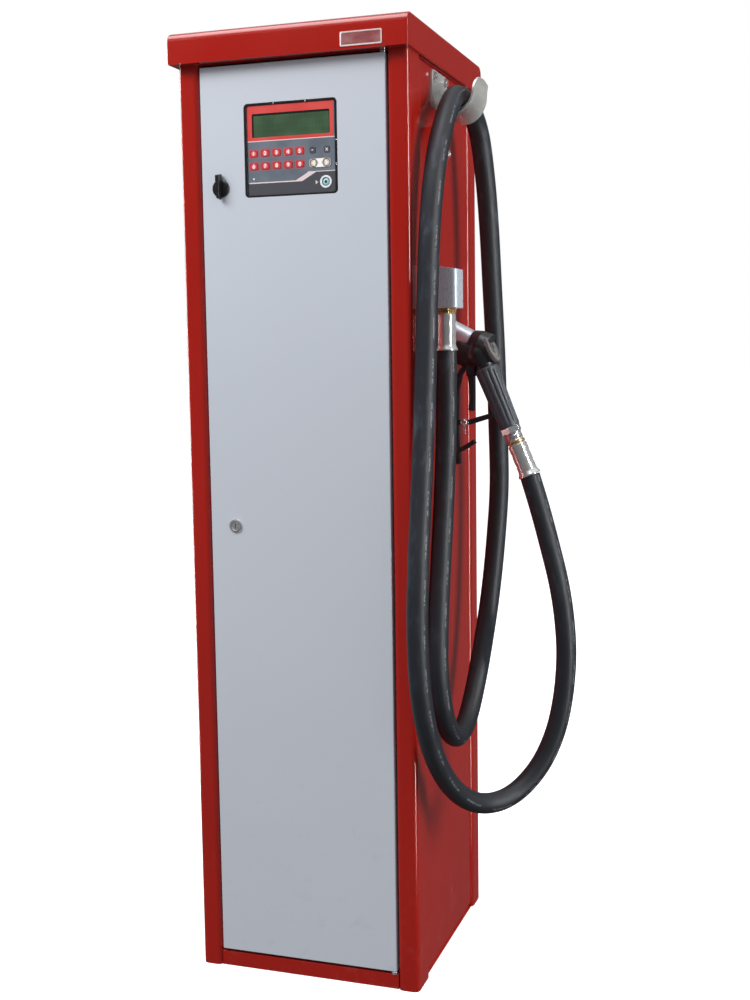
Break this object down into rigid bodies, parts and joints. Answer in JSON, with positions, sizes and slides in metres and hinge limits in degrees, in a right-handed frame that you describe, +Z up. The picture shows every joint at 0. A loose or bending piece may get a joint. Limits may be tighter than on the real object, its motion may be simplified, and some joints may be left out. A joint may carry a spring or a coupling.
{
  "type": "fuel dispenser",
  "caption": "Free-standing fuel dispenser: tall sheet-metal cabinet, hinged door with keypad display, hose hook, delivery hose and an automatic nozzle in a side boot.",
  "frame": {"origin": "on the floor, at the centre of the base plate's anchor hole pattern", "axes": "+X to the right seen from the front, towards the hose side; +Y from the door to the back; +Z up"},
  "size_m": [0.5942, 0.4762, 1.5],
  "materials": {
    "red_paint": "gloss",
    "door_paint": "satin",
    "bright_steel": "polished",
    "black_plastic": "satin",
    "keypad_film": "satin",
    "lcd_glass": "gloss",
    "board_green": "satin",
    "key_red": "satin",
    "key_grey": "satin",
    "key_cream": "satin",
    "reader_blue": "gloss",
    "zinc_sheet": "satin",
    "brass_fitting": "satin",
    "chrome_ferrule": "polished",
    "hose_rubber": "satin",
    "nozzle_black": "coated black, satin",
    "nozzle_cap_grey": "satin",
    "alloy": "satin",
    "motor_blue": "painted, satin",
    "cast_grey": "matte",
    "filter_white": "gloss",
    "rotor_white": "satin"
  },
  "bodies": {
    "cabinet": {"base_plate": "red_paint", "front_left_post": "red_paint", "front_right_post": "red_paint", "rear_left_post": "red_paint", "rear_right_post": "red_paint", "front_sill": "red_paint", "front_header": "red_paint", "left_panel": "red_paint", "right_panel": "red_paint", "rear_panel": "red_paint", "roof_cap": "red_paint", "hinge_pins": "bright_steel", "hose_hook": "zinc_sheet", "side_bolts": "bright_steel", "outlet_hood": "zinc_sheet", "outlet_elbow": "brass_fitting", "outlet_ferrule": "chrome_ferrule", "delivery_hose": "hose_rubber", "nozzle_boot": "black_plastic", "equipment_frame": "zinc_sheet", "motor": "motor_blue", "pump_body": "cast_grey", "filter_canister": "filter_white", "flow_meter": "alloy", "pipework": "brass_fitting"},
    "door": {"door": "door_paint", "door_lock": "bright_steel", "display_frame": "black_plastic", "keypad_plate": "keypad_film", "lcd_module": "lcd_glass", "control_board": "board_green", "control_box": "black_plastic", "fob_reader": "reader_blue"},
    "wing_knob": {"wing_knob": "black_plastic"},
    "lock_plug": {"lock_plug": "bright_steel"},
    "nozzle": {"nozzle_body": "nozzle_black", "nozzle_cap": "nozzle_cap_grey", "nozzle_grip": "black_plastic", "nozzle_spout": "alloy", "trigger_guard": "black_plastic", "nozzle_swivel": "brass_fitting", "nozzle_ferrule": "chrome_ferrule", "nozzle_hose": "hose_rubber"},
    "trigger": {"nozzle_trigger": "black_plastic"},
    "latch": {"trigger_latch": "bright_steel"},
    "pump_shaft": {"pump_shaft": "bright_steel"},
    "meter_rotor": {"meter_rotor": "rotor_white"},
    "key_1": {"key_1": "key_red"},
    "key_2": {"key_2": "key_red"},
    "key_3": {"key_3": "key_red"},
    "key_4": {"key_4": "key_red"},
    "key_5": {"key_5": "key_red"},
    "key_6": {"key_6": "key_red"},
    "key_7": {"key_7": "key_red"},
    "key_8": {"key_8": "key_red"},
    "key_9": {"key_9": "key_red"},
    "key_0": {"key_0": "key_red"},
    "key_minus": {"key_minus": "key_red"},
    "key_cancel": {"key_cancel": "key_grey"},
    "arrow_rocker": {"arrow_rocker": "key_cream"}
  },
  "joints": [
    {"name": "door_hinge", "type": "hinge", "parent": "cabinet", "child": "door", "pos_m": [0.1465, -0.192, 0.7], "axis": [0, 0, 1], "range_deg": [0, 110]},
    {"name": "wing_knob_turn", "type": "hinge", "parent": "door", "child": "wing_knob", "pos_m": [-0.119, -0.1965, 1.2645], "axis": [0, 1, 0], "range_deg": [0, 90]},
    {"name": "lock_turn", "type": "hinge", "parent": "door", "child": "lock_plug", "pos_m": [-0.1085, -0.1965, 0.7375], "axis": [0, 1, 0], "range_deg": [0, 90]},
    {"name": "nozzle_lift", "type": "slide", "parent": "cabinet", "child": "nozzle", "axis": [0.891, 0, -0.454], "range_m": [0, 0.15]},
    {"name": "trigger_squeeze", "type": "hinge", "parent": "nozzle", "child": "trigger", "pos_m": [0.228, 0, 0.974], "axis": [0, -1, 0], "range_deg": [0, 18], "stiffness_Nm_per_rad": 1.5, "springref_deg": -11.46},
    {"name": "latch_turn", "type": "hinge", "parent": "nozzle", "child": "latch", "pos_m": [0.218, -0.0083, 0.893], "axis": [0, 1, 0], "range_deg": [-45, 45]},
    {"name": "pump_spin", "type": "hinge", "parent": "cabinet", "child": "pump_shaft", "pos_m": [0, 0, 0.383], "axis": [1, 0, 0], "continuous": true},
    {"name": "meter_spin", "type": "hinge", "parent": "cabinet", "child": "meter_rotor", "pos_m": [0.08, -0.108, 0.833], "axis": [0, 1, 0], "continuous": true},
    {"name": "key_1_press", "type": "slide", "parent": "door", "child": "key_1", "axis": [0, 1, 0], "range_m": [0, 0.001], "stiffness_N_per_m": 600, "springref_m": -0.0005},
    {"name": "key_2_press", "type": "slide", "parent": "door", "child": "key_2", "axis": [0, 1, 0], "range_m": [0, 0.001], "stiffness_N_per_m": 600, "springref_m": -0.0005},
    {"name": "key_3_press", "type": "slide", "parent": "door", "child": "key_3", "axis": [0, 1, 0], "range_m": [0, 0.001], "stiffness_N_per_m": 600, "springref_m": -0.0005},
    {"name": "key_4_press", "type": "slide", "parent": "door", "child": "key_4", "axis": [0, 1, 0], "range_m": [0, 0.001], "stiffness_N_per_m": 600, "springref_m": -0.0005},
    {"name": "key_5_press", "type": "slide", "parent": "door", "child": "key_5", "axis": [0, 1, 0], "range_m": [0, 0.001], "stiffness_N_per_m": 600, "springref_m": -0.0005},
    {"name": "key_6_press", "type": "slide", "parent": "door", "child": "key_6", "axis": [0, 1, 0], "range_m": [0, 0.001], "stiffness_N_per_m": 600, "springref_m": -0.0005},
    {"name": "key_7_press", "type": "slide", "parent": "door", "child": "key_7", "axis": [0, 1, 0], "range_m": [0, 0.001], "stiffness_N_per_m": 600, "springref_m": -0.0005},
    {"name": "key_8_press", "type": "slide", "parent": "door", "child": "key_8", "axis": [0, 1, 0], "range_m": [0, 0.001], "stiffness_N_per_m": 600, "springref_m": -0.0005},
    {"name": "key_9_press", "type": "slide", "parent": "door", "child": "key_9", "axis": [0, 1, 0], "range_m": [0, 0.001], "stiffness_N_per_m": 600, "springref_m": -0.0005},
    {"name": "key_0_press", "type": "slide", "parent": "door", "child": "key_0", "axis": [0, 1, 0], "range_m": [0, 0.001], "stiffness_N_per_m": 600, "springref_m": -0.0005},
    {"name": "key_minus_press", "type": "slide", "parent": "door", "child": "key_minus", "axis": [0, 1, 0], "range_m": [0, 0.001], "stiffness_N_per_m": 600, "springref_m": -0.0005},
    {"name": "key_cancel_press", "type": "slide", "parent": "door", "child": "key_cancel", "axis": [0, 1, 0], "range_m": [0, 0.001], "stiffness_N_per_m": 600, "springref_m": -0.0005},
    {"name": "arrow_rocker_press", "type": "slide", "parent": "door", "child": "arrow_rocker", "axis": [0, 1, 0], "range_m": [0, 0.001], "stiffness_N_per_m": 600, "springref_m": -0.0005}
  ]
}
